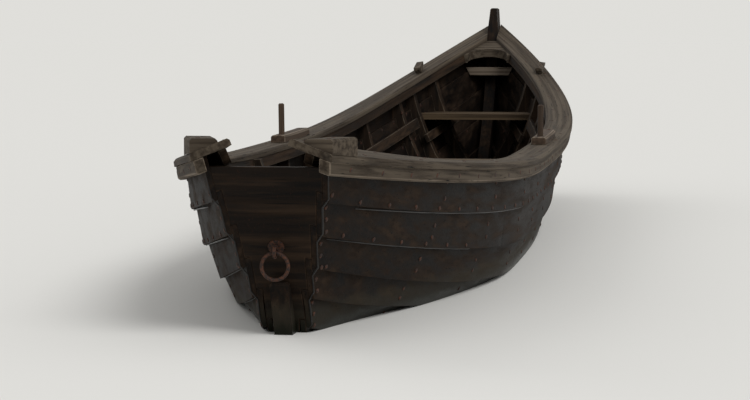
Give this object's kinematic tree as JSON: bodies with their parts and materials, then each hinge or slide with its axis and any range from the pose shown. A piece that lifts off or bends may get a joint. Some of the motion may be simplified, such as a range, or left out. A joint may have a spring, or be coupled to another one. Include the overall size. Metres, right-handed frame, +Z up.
{
  "type": "wooden rowing boat",
  "caption": "Clinker-planked wooden delta boat with a high pointed bow, raked V transom, plank seats, thole pins and a stern mooring ring.",
  "frame": {"origin": "on the waterline of the empty boat, on its centreline, midway along its length", "axes": "+X forward to the bow, +Y to port, +Z up"},
  "size_m": [6.0719, 1.1014, 1.055],
  "materials": {
    "tarred_planking": "tarred, dull black-brown",
    "tarred_timbers": "tarred inside, worn matt",
    "weathered_rails": "weathered grey-brown, bare",
    "worn_boards": "worn, trodden and damp",
    "thole_wood": "polished by use",
    "rusty_iron": "rusty"
  },
  "bodies": {
    "root": {"bottom_board_middle": "worn_boards", "bottom_board_port": "worn_boards", "bottom_board_starboard": "worn_boards", "bow_riser_port": "tarred_timbers", "bow_riser_starboard": "tarred_timbers", "bow_shelf": "worn_boards", "breasthook": "weathered_rails", "cap_rail_port": "weathered_rails", "cap_rail_starboard": "weathered_rails", "floor_timbers": "tarred_timbers", "inwale_port": "tarred_timbers", "inwale_starboard": "tarred_timbers", "keel": "tarred_planking", "mooring_ring": "rusty_iron", "quarter_block_port": "weathered_rails", "quarter_block_starboard": "weathered_rails", "quarter_knee_port": "tarred_timbers", "quarter_knee_starboard": "tarred_timbers", "rail_cleat_port": "weathered_rails", "rail_cleat_starboard": "weathered_rails", "ring_bolt": "rusty_iron", "riser_port": "tarred_timbers", "riser_starboard": "tarred_timbers", "rub_rail_port": "weathered_rails", "rub_rail_starboard": "weathered_rails", "seat_bow": "worn_boards", "seat_stern": "worn_boards", "side_timbers_port": "tarred_timbers", "side_timbers_starboard": "tarred_timbers", "stem": "tarred_planking", "sternpost": "tarred_planking", "strake_1_port": "tarred_planking", "strake_1_starboard": "tarred_planking", "strake_2_port": "tarred_planking", "strake_2_starboard": "tarred_planking", "strake_3_port": "tarred_planking", "strake_3_starboard": "tarred_planking", "strake_4_port": "tarred_planking", "strake_4_starboard": "tarred_planking", "strake_5_port": "tarred_planking", "strake_5_starboard": "tarred_planking", "strake_6_port": "tarred_planking", "strake_6_starboard": "tarred_planking", "thole_pad_port": "weathered_rails", "thole_pad_starboard": "weathered_rails", "thole_pin_port": "thole_wood", "thole_pin_starboard": "thole_wood", "thwart_aft": "worn_boards", "thwart_knee_port": "worn_boards", "thwart_knee_starboard": "worn_boards", "thwart_middle": "worn_boards", "transom": "tarred_planking"}
  },
  "joints": []
}
